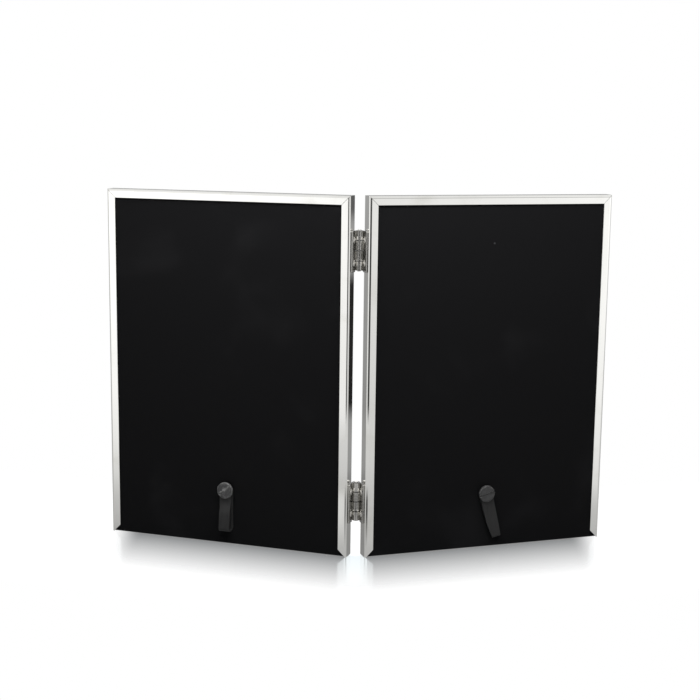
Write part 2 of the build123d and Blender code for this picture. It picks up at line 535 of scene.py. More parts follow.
def blackScrew(name, scuffs):
    material, tree, shader, place = newMaterial(name, {"Specular IOR Level": screwBlack["gloss"]})
    marks = placeGroup(tree, smudges, place, screwBlack["marks"])["Mask"]
    worn = placeGroup(tree, edgeWear, place, screwBlack["worn"])["Mask"]
    colour = mixColour(
        tree, product(tree, marks, scuffs), screwBlack["coat"], screwBlack["scuffed"]
    )
    bared = product(tree, worn, scuffs)
    colour = mixColour(tree, bared, colour, screwBlack["bare"])
    rough = maths(tree, "MULTIPLY_ADD", marks, screwBlack["markRough"], screwBlack["rough"])
    metallic = product(tree, bared, screwBlack["bareMetal"])
    feed(tree, shader, {"Base Color": colour, "Metallic": metallic, "Roughness": rough})
    bumped(tree, shader, marks, *screwBlack["bump"])
    return material


leather = {
    "black": (0.0135, 0.0135, 0.0135, 1),
    # painted shade in the fine creases
    "creaseShade": (0.007, 0.007, 0.007, 1),
    "edge": (0.022, 0.0215, 0.021, 1),
    "gloss": 0.26,
    "pores": {"Scale": 2600.0, "Smoothness": 0.6},
    "along": (1, 1, 0.12),
    "folds": {"Scale": 900.0, "Low": 0.5, "High": 0.75},
    "worn": {"Low": 0.51, "High": 0.58, "Scale": 900.0},
    "rough": 0.45,
    "poreRough": 0.2,
    "foldHeight": 0.8,
    "bump": (0.35, 0.06 * mm),
}


def strapLeather():
    material, tree, shader, place = newMaterial(
        "strapLeather", {"Specular IOR Level": leather["gloss"]}
    )
    pores = addNode(
        tree, "ShaderNodeTexVoronoi", {"Vector": place, **leather["pores"]}, feature="SMOOTH_F1"
    ).outputs["Distance"]
    folds = placeGroup(tree, hairlines, laid(tree, place, leather["along"]), leather["folds"])
    worn = placeGroup(tree, edgeWear, place, leather["worn"])["Mask"]
    # painted shade along the fine creases
    colour = mixColour(tree, folds["Mask"], leather["black"], leather["creaseShade"])
    colour = mixColour(tree, worn, colour, leather["edge"])
    rough = maths(tree, "MULTIPLY_ADD", pores, leather["poreRough"], leather["rough"])
    feed(tree, shader, {"Base Color": colour, "Roughness": rough})
    height = maths(tree, "MULTIPLY_ADD", folds["Height"], leather["foldHeight"], pores)
    bumped(tree, shader, height, *leather["bump"])
    return material


pane = {
    "clear": (0.985, 0.995, 0.99, 1),
    "hazed": (0.965, 0.98, 0.972, 1),
    "haze": {"Scale": 30.0, "Low": 0.5, "High": 0.8},
    "hazeRough": 0.012,
    "bending": 1.5,
}


def clearGlass():
    material, tree, shader, place = newMaterial(
        "clearGlass", {"IOR": pane["bending"], "Transmission Weight": 1.0}
    )
    haze = placeGroup(tree, smudges, place, pane["haze"])["Mask"]
    colour = mixColour(tree, haze, pane["clear"], pane["hazed"])
    rough = product(tree, haze, pane["hazeRough"])
    feed(tree, shader, {"Base Color": colour, "Roughness": rough})
    # the lamps light the insert through the pane
    lampRay = addNode(tree, "ShaderNodeLightPath").outputs["Is Shadow Ray"]
    openPane = closure(tree, "ShaderNodeBsdfTransparent")
    surface = mixShader(tree, lampRay, shader.outputs[0], openPane)
    feed(tree, tree.nodes["Material Output"], {"Surface": surface})
    return material


cards = {
    "tone": {"Scale": 18.0, "Low": 0.35, "High": 0.7},
    "toneShare": 0.35,
    "bump": (0.25, 0.04 * mm),
    # light, dark, fibre scale, roughness
    "insertPaper": ((0.84, 0.83, 0.80, 1), (0.78, 0.77, 0.735, 1), 700.0, 0.6),
    "fillerCard": ((0.50, 0.43, 0.33, 1), (0.33, 0.27, 0.19, 1), 420.0, 0.85),
    "pressedBoard": ((0.22, 0.14, 0.085, 1), (0.10, 0.06, 0.034, 1), 600.0, 0.7),
}


def cardFinish(name):
    light, dark, scale, rough = cards[name]
    material, tree, shader, place = newMaterial(name, {"Roughness": rough})
    strands = placeGroup(tree, fibres, place, {"Scale": scale})
    tone = placeGroup(tree, smudges, place, cards["tone"])["Mask"]
    colour = mixColour(tree, strands["Mask"], light, dark)
    colour = mixColour(tree, product(tree, tone, cards["toneShare"]), colour, dark)
    feed(tree, shader, {"Base Color": colour})
    bumped(tree, shader, strands["Height"], *cards["bump"])
    return material


silverUpright = polishedSilver("silverUpright", silver["upright"])
silverAcross = polishedSilver("silverAcross", silver["across"])
facingBlack = blackFacing()
rivetSteel = brightSteel()
screwFinish = {"left": blackScrew("screwScuffed", 1.0), "right": blackScrew("screwClean", 0.3)}
strapBlack = strapLeather()
glassClear = clearGlass()
insertPaper = cardFinish("insertPaper")
fillerCard = cardFinish("fillerCard")
pressedBoard = cardFinish("pressedBoard")
print("finishes ready")


# Frame channels
glassHigh = flatBox("right_glass")[1]
stileLow, stileHigh = flatBox("right_hinge_stile")
outerHigh = flatBox("right_outer_stile")[1]
bottomLow, bottomHigh = flatBox("right_bottom_rail")
frontPlane = stileHigh.y
metal = frontPlane - glassHigh.y
frameDepth = stileHigh.y - stileLow.y
lipWidth = stileHigh.x - stileLow.x
channel = {
    "edgeChamfer": 0.85 * mm,  # across the lip
    "chamferFall": 0.6 * mm,  # down the wall
    "edgeRound": {"left": 0.28 * mm, "right": 0.5 * mm},  # where the chamfer meets the lip
    "roundSteps": 5,
    "lipBreak": 0.2 * mm,
    "lipSteps": 3,
    "mitreGap": 0.06 * mm,
    "softEdge": 0.06 * mm,
    "footDrop": 0.7 * mm,  # the open back lip reaches this far below the mitre
    "footRoom": 0.07 * mm,
    "outerRoom": 0.07 * mm,  # keeps the turned outer edges inside the box
}


def makeChannel(name, corner, inward, length, depth, backLip, edgeRound, footEnd):
    # local X is inward, Y from front to back, Z along the run
    piece = addBlock(name, (0, 0, 0), (metal, depth, length))
    editPiece(piece)
    cutAcross((0, metal, 0), (0, 1, 0))
    if backLip:
        cutAcross((0, depth - metal, 0), (0, 1, 0))

    def isLip(face):
        across = face.calc_center_median().y
        onLip = across < metal or (backLip and across > depth - metal)
        return face.normal.x > nearlyFacing and onLip

    pick("faces", isLip)
    pullOut((lipWidth - metal, 0, 0))
    mergeDoubles()
    dissolveFlat()
    ends = (0, depth) if backLip else (0,)

    def pickRuns(inside, levels):
        # long edges so far inside the wall's face, at one of the depths
        def isRun(edge):
            spot = middleOf(edge)
            atLevel = any(abs(spot.y - level) < tiny for level in levels)
            return runsAlong(edge, 2) and abs(spot.x - inside) < tiny and atLevel

        pick("edges", isRun)

    pickRuns(0, ends)
    bevelPicked(channel["edgeChamfer"])
    for end, outward in zip(ends, (-1, 1)):
        pickRuns(0, (end - outward * channel["edgeChamfer"],))
        slide = outward * (channel["edgeChamfer"] - channel["chamferFall"])
        bpy.ops.transform.translate(value=(0, slide, 0))
    pickRuns(lipWidth, ends)
    bevelPicked(channel["lipBreak"], channel["lipSteps"])
    pickRuns(channel["edgeChamfer"], ends)
    bevelPicked(edgeRound, channel["roundSteps"])

    def closedCut(point, normal):
        cutAcross(point, normal, dropOuter=True)
        pick("edges", lambda edge: edge.is_boundary)
        bpy.ops.mesh.edge_face_add()

    gap = channel["mitreGap"]
    closedCut((0, 0, gap), (1, 0, -1))
    closedCut((0, 0, length - gap), (1, 0, 1))
    if footEnd is not None:
        cutAcross((0, depth - metal, 0), (0, 1, 0))
        downward = 1 if footEnd else -1

        def isLipFoot(face):
            across = face.calc_center_median().y
            return face.normal.z * downward > mitreFacing and across > depth - metal

        pick("faces", isLipFoot)
        pullOut((0, 0, downward * channel["footDrop"]))
        closedCut((0, 0, footEnd - downward * channel["footRoom"]), (0, 0, downward))
        pickAll()
        dissolveFlat()
    leaveEdit()
    backward = Vector((0, -1, 0))
    inward = Vector(inward)
    turn = Matrix((inward, backward, inward.cross(backward))).transposed().to_4x4()
    return moved(piece, Matrix.Translation(corner) @ turn)


hingeFace, outerFace, top = stileLow.x, outerHigh.x - channel["outerRoom"], stileHigh.z
bottomDepth = bottomHigh.y - bottomLow.y
span = outerFace - hingeFace
# corner, inward, length, depth, where along the run the open foot is, finish
channelPlans = {
    "hinge_stile": ((hingeFace, frontPlane, top), (1, 0, 0), top, frameDepth, top, silverUpright),
    "outer_stile": ((outerFace, frontPlane, 0), (-1, 0, 0), top, frameDepth, 0, silverUpright),
    "top_rail": ((outerFace, frontPlane, top), (0, 0, -1), span, frameDepth, None, silverAcross),
    "bottom_rail": ((hingeFace, frontPlane, 0), (0, 0, 1), span, bottomDepth, None, silverAcross),
}
for node, (corner, inward, length, depth, footEnd, finish) in channelPlans.items():
    for side, edgeRound in channel["edgeRound"].items():
        hasLip = node != "bottom_rail"
        name = f"{side}Frame_{node}"
        drawn = makeChannel(name, corner, inward, length, depth, hasLip, edgeRound, footEnd)
        piece = moved(drawn, standing(side))
        softened(piece, channel["softEdge"], clamp=False)
        handIn(piece, f"{side}_{node}", f"{side}_frame", finish)
print("frame channels done")


# Glass, insert and filler card
layers = {
    "glass": {"soft": 0.25 * mm, "steps": 2, "slot": "clear_glass", "finish": glassClear},
    "photo_insert": {"soft": 0.03 * mm, "steps": 1, "slot": "insert_paper", "finish": insertPaper},
    "filler_card": {"soft": 0.12 * mm, "steps": 2, "slot": "filler_card", "finish": fillerCard},
}
layerAir = 0.02 * mm  # each layer's front stops this far short of the one before it
for node, plan in layers.items():
    low, high = flatBox(f"right_{node}")
    drawn = addBlock(node, low, high - Vector((0, layerAir, 0)))
    for side in sides:
        piece = moved(copied(drawn, f"{side}Frame_{node}"), standing(side))
        softened(piece, plan["soft"], plan["steps"])
        handIn(piece, f"{side}_{node}", f"{side}_frame", plan["finish"])
    bpy.data.objects.remove(drawn)
print("glass and cards done")


# Sliding backs: board and facing, holed for the screw post
boardLow, boardHigh = flatBox("right_back_board")
facingLow, facingHigh = flatBox("right_back_facing")
outOfBack = Matrix.Rotation(math.pi / 2, 4, "X")  # turns Z out of the back
clear = 1 * mm  # how far a drill or cutter runs past
back = {
    "hole": 2.1 * mm,
    "seat": 4.1 * mm,
    "seatDepth": 0.7 * mm,
    "boardSoft": 0.2 * mm,
    "facingSoft": 0.05 * mm,
}


def postSpot(side):
    spot = standing(side).inverted() @ Vector(jointNamed(f"{side}_loop_swivel")["pos_m"])
    spot.y = facingLow.y
    return spot


def onPost(side):
    # X to the right as seen from behind, Y up, Z out of the back, at the facing
    spot = postSpot(side)
    spot.x *= sides[side]
    return turnedOut(side) @ Matrix.Translation(spot) @ outOfBack


def drillBack(piece, radius, low, high):
    # low and high count outwards from the facing's outer plane
    drill = addRound("drill", radius, low, high)
    moved(drill, Matrix.Translation(postSpot("right")) @ outOfBack)
    merged(piece, drill, "DIFFERENCE")


boardFront = boardHigh.y - facingLow.y
backPlans = {
    "back_board": (boardLow, boardHigh, back["boardSoft"], "board", pressedBoard),
    "back_facing": (facingLow, facingHigh, back["facingSoft"], "black_facing", facingBlack),
}
for node, (low, high, soft, slotName, finish) in backPlans.items():
    drawn = addBlock(node, low, high)
    softened(drawn, soft)
    drillBack(drawn, back["hole"], -boardFront - clear, clear)
    if node == "back_board":
        drillBack(drawn, back["seat"], -boardFront - clear, back["seatDepth"] - boardFront)
    for side in sides:
        piece = moved(copied(drawn, f"{side}Back_{node}"), standing(side))
        handIn(piece, f"{side}_{node}", f"{side}_back", finish)
    bpy.data.objects.remove(drawn)
print("sliding backs done")


# Screws and their posts
screwBox = flatBox("right_tab_screw")
screw = {
    "radius": (screwBox[1].x - screwBox[0].x) / 2,
    "thick": 1.3 * mm,
    "bevel": 0.42 * mm,
    "bevelSteps": 4,
    "crown": 0.1 * mm,
    "crownInset": 1.2 * mm,
    "crownShares": (0.7, 0.3),  # of the crown's rise, ring by ring
    "shank": 1.25 * mm,
    "slotWidth": 1.1 * mm,
    "slotDepth": 0.6 * mm,
    "slotTurn": {"left": 45, "right": 15},
    "softEdge": 0.05 * mm,
    "edgeBand": 0.14 * mm,
}
headTop = facingLow.y - screwBox[0].y
headLow = headTop - screw["thick"]
shankLow = facingLow.y - screwBox[1].y


def makeScrew(side):
    rim = headTop - screw["crown"]
    piece = addRound(f"{side}Back_tab_screw", screw["radius"], headLow, rim)
    editPiece(piece)
    pick("faces", lambda face: face.normal.z < -nearlyFacing)
    insetPicked(screw["radius"] - screw["shank"])
    pullOut((0, 0, shankLow - headLow))
    pick("edges", lambda edge: lowestOf(edge) > rim - tiny)
    bevelPicked(screw["bevel"], screw["bevelSteps"])
    pick("faces", lambda face: face.normal.z > flatFacing)
    for share in screw["crownShares"]:
        insetPicked(screw["crownInset"], screw["crown"] * share)
    leaveEdit()
    reach = 2 * screw["radius"]
    halfSlot = screw["slotWidth"] / 2
    slotLow = headTop - screw["slotDepth"]
    cutter = addBlock("slot", (-reach, -halfSlot, slotLow), (reach, halfSlot, headTop + clear))
    moved(cutter, Matrix.Rotation(math.radians(screw["slotTurn"][side]), 4, "Z"))
    merged(piece, cutter, "DIFFERENCE")
    softened(piece, screw["softEdge"])
    editPiece(piece)

    def isCrown(face):
        return face.normal.z > flatFacing and face.calc_center_median().z > headTop - screw["bevel"]

    pick("faces", isCrown)
    insetPicked(screw["edgeBand"])
    leaveEdit()
    return moved(piece, onPost(side))


for side in sides:
    handIn(makeScrew(side), f"{side}_tab_screw", f"{side}_back", screwFinish[side])
    post = frame["nodes"][f"{side}_tab_post"]
    post.data.materials.clear()
    post.data.materials.append(screwFinish["right"])
print("screws done")


# Folded strap loops
strap = {
    "width": 7.4 * mm,
    "thick": 0.8 * mm,
    "room": 0.05 * mm,
    "layerGap": 0.03 * mm,
    "flat": 4.8 * mm,  # lies flat under the screw head as far as this
    "columns": 6,
    "steps": 7,  # rows in each long run
    "foldSteps": 6,
    "endSteps": 4,  # rows of the rounded ends
    "endSpread": 3.2,  # rows from the tip to the post
    "endLeast": 0.05,  # squared width of the very tip
    "pinch": 0.08,  # the fold's edge is narrower by this share
    # of the front run, from the fold: where it starts to shut, and where it is shut
    "shutShares": (0.5, 0.85),
    "hole": 2.1 * mm,
    "holeReach": 6 * mm,
    "softEdge": 0.14 * mm,
    "softSteps": 3,
    # widths as shares: the back run at the fold, the front run at the fold and under the screw
    "left": {"turn": 0, "reach": 22.2 * mm, "open": 1.65 * mm, "widths": (1, 0.80, 0.80),
             "drift": (0, -0.35 * mm)},
    "right": {"turn": 13.0, "reach": 24.8 * mm, "open": 0.95 * mm, "widths": (0.62, 0.66, 0.9),
              "drift": (0.88 * mm, 0.88 * mm)},
}


def between(first, second, share):
    return first + (second - first) * share


def strapRows(plan):
    # each row: distance below the post, height off the facing, share of the width, sideways drift
    half = strap["thick"] / 2
    low = strap["room"] + half
    clamp = low + strap["thick"] + strap["layerGap"]
    radius = plan["open"] - half
    start = plan["reach"] - plan["open"]
    tip = strap["width"] / 2
    backWidth, foldWidth, clampWidth = plan["widths"]
    backDrift, foldDrift = plan["drift"]
    shutFrom, shutAt = strap["shutShares"]
    shares = [step / strap["steps"] for step in range(1, strap["steps"] + 1)]
    rounded = []  # the end above the post
    for step in range(strap["endSteps"]):
        rise = tip * (1 - step / strap["endSpread"])
        rounded.append((rise, math.sqrt(max(strap["endLeast"], 1 - (rise / tip) ** 2))))
    rows = [(-rise, low, width, 0) for rise, width in rounded]
    for share in shares:
        rows.append((start * share, low, between(1, backWidth, share**2), backDrift * share**2))
    for step in range(1, strap["foldSteps"] + 1):
        share = step / strap["foldSteps"]
        turn = math.pi * share
        width = between(backWidth, foldWidth, share) * (1 - strap["pinch"] * math.sin(turn))
        height = low + radius * (1 - math.cos(turn))
        drift = between(backDrift, foldDrift, share)
        rows.append((start + radius * math.sin(turn), height, width, drift))
    for share in shares:
        shut = min(1, max(0, (share - shutFrom) / (shutAt - shutFrom)))
        height = between(low + 2 * radius, clamp, shut**2 * (3 - 2 * shut))
        ease = (1 - share) ** 3
        width = between(clampWidth, foldWidth, ease)
        rows.append((between(start, strap["flat"], share), height, width, foldDrift * ease))
    return rows + [(-rise, clamp, width, 0) for rise, width in reversed(rounded)]


def makeLoop(side):
    plan = strap[side]
    rows = strapRows(plan)
    clearSelection()
    gridSize = 1
    bpy.ops.mesh.primitive_grid_add(
        x_subdivisions=strap["columns"], y_subdivisions=1, size=gridSize, location=(0, 0, 0)
    )
    piece = named(f"{side}Loop_pull_loop")
    editPiece(piece)
    pick("verts", lambda vert: vert.co.y > 0)
    bpy.ops.mesh.delete(type="VERT")
    pickAll()
    down, height, width, drift = rows[0]
    bpy.ops.transform.resize(value=(strap["width"] * width, 1, 1))
    bpy.ops.transform.translate(value=(drift, gridSize / 2 - down, height))
    for before, after in zip(rows, rows[1:]):
        pullOut((after[3] - before[3], before[0] - after[0], after[1] - before[1]))
        bpy.ops.transform.resize(
            value=(after[2] / before[2], 1, 1), center_override=(after[3], 0, 0)
        )
    pickAll()
    bpy.ops.mesh.normals_make_consistent(inside=False)
    leaveEdit()
    applied(piece, "SUBSURF", levels=1, render_levels=1)
    applied(piece, "SOLIDIFY", thickness=strap["thick"], offset=0, use_even_offset=True)
    merged(piece, addRound("drill", strap["hole"], -clear, strap["holeReach"]), "DIFFERENCE")
    softened(piece, strap["softEdge"], strap["softSteps"])
    moved(piece, Matrix.Rotation(math.radians(plan["turn"]), 4, "Z"))
    return moved(piece, onPost(side))


for side in sides:
    handIn(makeLoop(side), f"{side}_pull_loop", f"{side}_loop", strapBlack)
print("strap loops done")


# Hinges
leafLow, leafHigh = flatBox("upper_hinge_right_leaf")
hinge = {
    "knuckles": 4,
    "own": {"left": (0, 2), "right": (1, 3)},  # counted from the top
    "gap": 0.1 * mm,
    "room": 0.2 * mm,
    "plate": 0.8 * mm,
    "corner": 0.6 * mm,
    "cornerSteps": 5,
    "tabShort": 0.5 * mm,  # a tab stops this far short of the axis, inside its knuckle
    "bore": 1.0 * mm,
    "roll": 2.2 * mm,  # outer radius of a rolled knuckle
    "rollEnd": 0.05 * mm,
    "rollRoom": 0.06 * mm,
    "shortEnd": 0.3 * mm,  # the outer knuckles are this much shorter
    "rise": 0.4 * mm,  # the barrel sits this much higher than the plates
    "softEdge": 0.1 * mm,
    "endSteps": 3,
    "rivetSpacing": 11.4 * mm,
    "rivetDepth": 3.4 * mm,
    "rivetRadius": 0.8 * mm,
    "rivetHead": 1.55 * mm,
    "rivetRise": 0.5 * mm,
    "rivetFacets": 40,
    "rivetSoft": 0.04 * mm,
    "pinCrown": 0.2 * mm,
    "pinFacets": 48,
}
barrel = leafHigh.y
hingeLength = leafHigh.z - leafLow.z + hinge["gap"]
knuckleLength = hingeLength / hinge["knuckles"]
plateFace = hingeFace - hinge["plate"]
nickel = {
    "bright": (0.92, 0.905, 0.865, 1),
    "dark": (0.76, 0.75, 0.71, 1),
    "streak": (0.44, 0.43, 0.40, 1),
    "patina": {"Scale": 300.0, "Low": 0.42, "High": 0.72},
    "along": (1, 1, 0.06),
    "lines": {"Scale": 2400.0, "Low": 0.52, "High": 0.78},
    # the knuckles are rubbed bright and the plates stay dull, with painted shade on the plates in
    # the recess beside the barrel, by metres from the hinge axis
    "rubbed": ((0, 1), (0.0022, 1), (0.0024, 0.3), (0.0031, 0.32), (0.0037, 0.6), (0.01, 0.6)),
    "paintedShade": (0.07, 0.068, 0.064, 1),  # painted shade between the knuckles and at the barrel's ends
    "jointShadeReach": (0.18 * mm, 0.3 * mm),
    "endShadeMargins": (0.14 * mm, 0.08 * mm),
    "rough": 0.15,
    "lineRough": 0.16,
    "bump": (0.12, 0.02 * mm),
}


def hingeMiddle(place):
    low, high = flatBox(f"{place}_hinge_pin", "left")
    return (low.z + high.z) / 2


def darkNickel():
    material, tree, shader, place = newMaterial("darkNickel", {"Metallic": 1.0})
    patina = placeGroup(tree, smudges, place, nickel["patina"])["Mask"]
    lines = placeGroup(tree, hairlines, laid(tree, place, nickel["along"]), nickel["lines"])
    colour = mixColour(tree, patina, nickel["bright"], nickel["dark"])
    colour = mixColour(tree, lines["Mask"], colour, nickel["streak"])
    away = lengthOf(tree, laid(tree, place, (1, 1, 0), shift=-hingeAxis))
    # rubbed knuckles, dull plates and painted shade on the plates beside the barrel
    dulled = byDistance(tree, away, nickel["rubbed"])
    colour = mixColour(tree, 1.0, colour, dulled, "MULTIPLY")
    # height from the middle of the nearer barrel
    height = splitPlace(tree, place)["Z"]
    upper, lower = [hingeMiddle(name) + hinge["rise"] for name in places]
    isUpper = maths(tree, "GREATER_THAN", height, (upper + lower) / 2)
    nearer = maths(tree, "MULTIPLY_ADD", isUpper, upper - lower, lower)
    height = maths(tree, "SUBTRACT", height, nearer)
    # painted shade in the gaps between the knuckles and at the barrel's ends, on the barrel only
    joint = maths(tree, "PINGPONG", height, knuckleLength / 2)
    joint = spread(tree, joint, *nickel["jointShadeReach"], 1.0, 0.0)
    barrelEnd = hingeLength / 2 - hinge["gap"] / 2 - hinge["rollRoom"] - hinge["shortEnd"]
    ends = [barrelEnd - margin for margin in nickel["endShadeMargins"]]
    paintedShade = maths(tree, "MAXIMUM", joint, spread(tree, maths(tree, "ABSOLUTE", height), *ends))
    paintedShade = product(tree, paintedShade, maths(tree, "LESS_THAN", away, barrel + hinge["room"]))
    # and painted shade along the plates' upper edges
    paintedShade = maths(tree, "MAXIMUM", paintedShade, spread(tree, height, *ends))
    colour = mixColour(tree, paintedShade, colour, nickel["paintedShade"])
    rough = maths(tree, "MULTIPLY_ADD", lines["Mask"], nickel["lineRough"], nickel["rough"])
    feed(tree, shader, {"Base Color": colour, "Roughness": rough})
    bumped(tree, shader, lines["Height"], *nickel["bump"])
    return material


def knuckleSpan(index):
    topEnd = hingeLength / 2 + hinge["rise"] - index * knuckleLength
    return topEnd - knuckleLength + hinge["gap"] / 2, topEnd - hinge["gap"] / 2


def makeKnuckle(index):
    low, high = knuckleSpan(index)
    low, high = low + hinge["rollRoom"], high - hinge["rollRoom"]
    if index == 0:
        high -= hinge["shortEnd"]
    if index == hinge["knuckles"] - 1:
        low += hinge["shortEnd"]
    piece = addRound("knuckle", hinge["roll"], low, high)
    editPiece(piece)
    pick("edges", lambda edge: lowestOf(edge) > high - tiny)
    bevelPicked(hinge["rollEnd"], hinge["endSteps"])
    leaveEdit()
    return piece


def makeLeaf(name, own):
    # plate on the stile wall, cut back beside the other leaf's knuckles
    cutBack = -math.sqrt((barrel + hinge["room"]) ** 2 - plateFace**2)
    half = hingeLength / 2
    piece = addBlock(name, (plateFace, leafLow.y, -half), (hingeFace, cutBack, half))
    editPiece(piece)
    pick("edges", lambda edge: runsAlong(edge, 0) and middleOf(edge).y < leafLow.y + tiny)
    bevelPicked(hinge["corner"], hinge["cornerSteps"])
    spans = [knuckleSpan(index) for index in own]
    for level in sorted(level for span in spans for level in span):
        if abs(level) < half - tiny:
            cutAcross((0, 0, level), (0, 0, 1))

    def isTab(face):
        height = face.calc_center_median().z
        beside = any(low - tiny < height < high + tiny for low, high in spans)
        return face.normal.y > nearlyFacing and beside

    pick("faces", isTab)
    pullOut((0, -cutBack - hinge["tabShort"], 0))
    leaveEdit()
    softened(piece, hinge["softEdge"])
    for index in own:
        merged(piece, makeKnuckle(index), "UNION")
    merged(piece, addRound("pinRoom", hinge["bore"], -hingeLength, hingeLength), "DIFFERENCE")
    return piece


def makeRivet():
    # domed head from a sphere, with its shank through the leaf and the stile wall
    head, rise, facets = hinge["rivetHead"], hinge["rivetRise"], hinge["rivetFacets"]
    dome = (head**2 + rise**2) / (2 * rise)
    clearSelection()
    bpy.ops.mesh.primitive_uv_sphere_add(
        segments=facets, ring_count=facets, radius=dome,
        location=(plateFace - rise + dome, 0, 0), rotation=(0, math.pi / 2, 0),
    )
    applyPlace()
    piece = named("rivet")
    editPiece(piece)
    cutAcross((plateFace, 0, 0), (1, 0, 0), dropOuter=True, fill=True)
    pick("faces", lambda face: face.normal.x > flatFacing)
    insetPicked(head - hinge["rivetRadius"])
    pullOut((hinge["plate"] + metal, 0, 0))
    leaveEdit()
    softened(piece, hinge["rivetSoft"])
    return moved(piece, Matrix.Translation((0, -hinge["rivetDepth"], 0)))


hingeNickel = darkNickel()
rivet = makeRivet()
for side, own in hinge["own"].items():
    leaf = makeLeaf("leaf", own)
    for place in places:
        level = standing(side) @ Matrix.Translation((0, 0, hingeMiddle(place)))
        piece = moved(copied(leaf, f"{side}Hinge_{place}_leaf"), level)
        handIn(piece, f"{place}_hinge_{side}_leaf", f"{side}_frame", hingeNickel)
        pair = []
        for step in (-0.5, 0.5):
            rise = Matrix.Translation((0, 0, step * hinge["rivetSpacing"]))
            pair.append(moved(copied(rivet, "rivetCopy"), level @ rise))
        piece = joined(pair, f"{side}Hinge_{place}_rivets")
        handIn(piece, f"{place}_hinge_{side}_rivets", f"{side}_frame", rivetSteel)
    bpy.data.objects.remove(leaf)
bpy.data.objects.remove(rivet)

for place in places:
    low, high = flatBox(f"{place}_hinge_pin", "left")
    ends = [end + hinge["rise"] for end in (low.z, high.z)]
    name = f"leftHinge_{place}_pin"
    piece = addRound(name, (high.x - low.x) / 2, *ends, hinge["pinFacets"])
    editPiece(piece)
    pick("edges", lambda edge: not runsAlong(edge, 2))
    bevelPicked(hinge["pinCrown"], hinge["endSteps"])
    leaveEdit()
    moved(piece, turnedOut("left"))
    handIn(piece, f"{place}_hinge_pin", "left_frame", rivetSteel)
print("hinges done")


# Floor, light and camera
stage = {
    "floorSize": 12.0,
    "white": (0.45, 0.45, 0.45, 1),
    "lift": 0.8,  # share of pure white that the camera sees on the floor
    "glow": 1.23,
    "mirror": 0.785,  # reflection close to the frames
    "mirrorReach": 58 * mm,
    "mirrorEnds": (-16 * mm, 3 * mm),  # it fades out about the outer stiles
    "mirrorBack": (-6 * mm, -2 * mm),  # the front part ends under the frames
    "mirrorGap": (4 * mm, 12 * mm),  # and the rear part leaves out the gap at the hinge
    "rearMirror": 0.5,  # share of the front part
    "rearReach": 30 * mm,
    "clearFrom": (64 * mm, 90 * mm),  # clear from here on, so drawn backs show below the floor
    "mirrorBlur": 0.18,
    "mirrorTint": (0.86, 0.93, 0.97, 1),
    "mirrorShade": (0.004, 0.012, 0.018, 1),
    "compassFront": 4 * mm,  # the turns are counted from this far in front of the hinge
    "plainFront": (-1.5 * mm, -0.5 * mm),  # near the middle the turns don't matter
    "plainRear": 0.2,  # share of that behind the backs
    "plainAside": (150 * mm, 210 * mm),
    "plainLevel": (0.83, 0.83, 0.83, 1),
}
sky = {
    "level": 0.15,
    "zenith": (0.78, 0.78, 0.78, 1),  # what the metal sees straight above
    "zenithRise": (0.35, 0.9),
    "front": 0.45,  # and low over the camera's side, as a share of the surround
    "frontSide": (-0.3, 0.0),
    "frontRise": (0.04, 0.08),  # the heights where that holds
    "frontFall": (0.34, 0.42),
    "aheadTurn": (26, 30),
    "rearRise": (0.08, 0.16),
    "rearSide": (0.0, 0.3),
}
# what the metal sees round about, by compass turn: 0 is the camera's side and 90 the right
surround = (
    (-180, 0.35), (-144, 0.33), (-100, 0.8), (-70, 1.12), (-46, 1.16), (-36, 0.95), (-30, 0.75),
    (-27, 0.06), (27, 0.06), (30, 0.6), (36, 0.75), (40, 0.79), (46, 0.86), (54, 1.05), (80, 1.14),
    (100, 0.9), (144, 0.33), (180, 0.35),
)
# and by distance from the backs, in metres
nearShade = (
    (0, 0.56), (0.04, 0.61), (0.09, 0.66), (0.2, 0.78), (0.35, 0.89), (0.9, 1.0), (2.0, 1.1),
    (3.5, 1.1),
)
# how far the turns don't matter, by distance from the middle in metres
plainShares = (
    (0, 1), (0.04, 1), (0.1, 0.08), (0.13, 0.08), (0.16, 1), (0.33, 1), (0.39, 0), (0.6, 0),
)
# dark cards behind the right frame, which the left hinge wall mirrors, by distance in metres
darkCards = {
    "turn": 144,
    "width": (7, 11),
    "shares": (
        (0, 0), (0.3, 0), (0.36, 0.94), (1.15, 0.94), (1.35, 0), (2.2, 0), (2.7, 0.7), (4.0, 0.7),
    ),
}


def seenRays(tree, *names):
    rays = addNode(tree, "ShaderNodeLightPath").outputs
    seen = rays[names[0]]
    for name in names[1:]:
        seen = maths(tree, "MAXIMUM", seen, rays[name])
    return seen


def compassTurn(tree, right, back):
    return maths(tree, "ARCTAN2", right, product(tree, back, -1.0))


def surroundLevel(tree, turn):
    stops = [((degrees + 180) / 360, level) for degrees, level in surround]
    return ramped(tree, spread(tree, turn, -math.pi, math.pi), stops)


def withinTurn(tree, turn, limits):
    inside, outside = [math.radians(degrees) for degrees in limits]
    return spread(tree, maths(tree, "ABSOLUTE", turn), inside, outside, 1.0, 0.0)


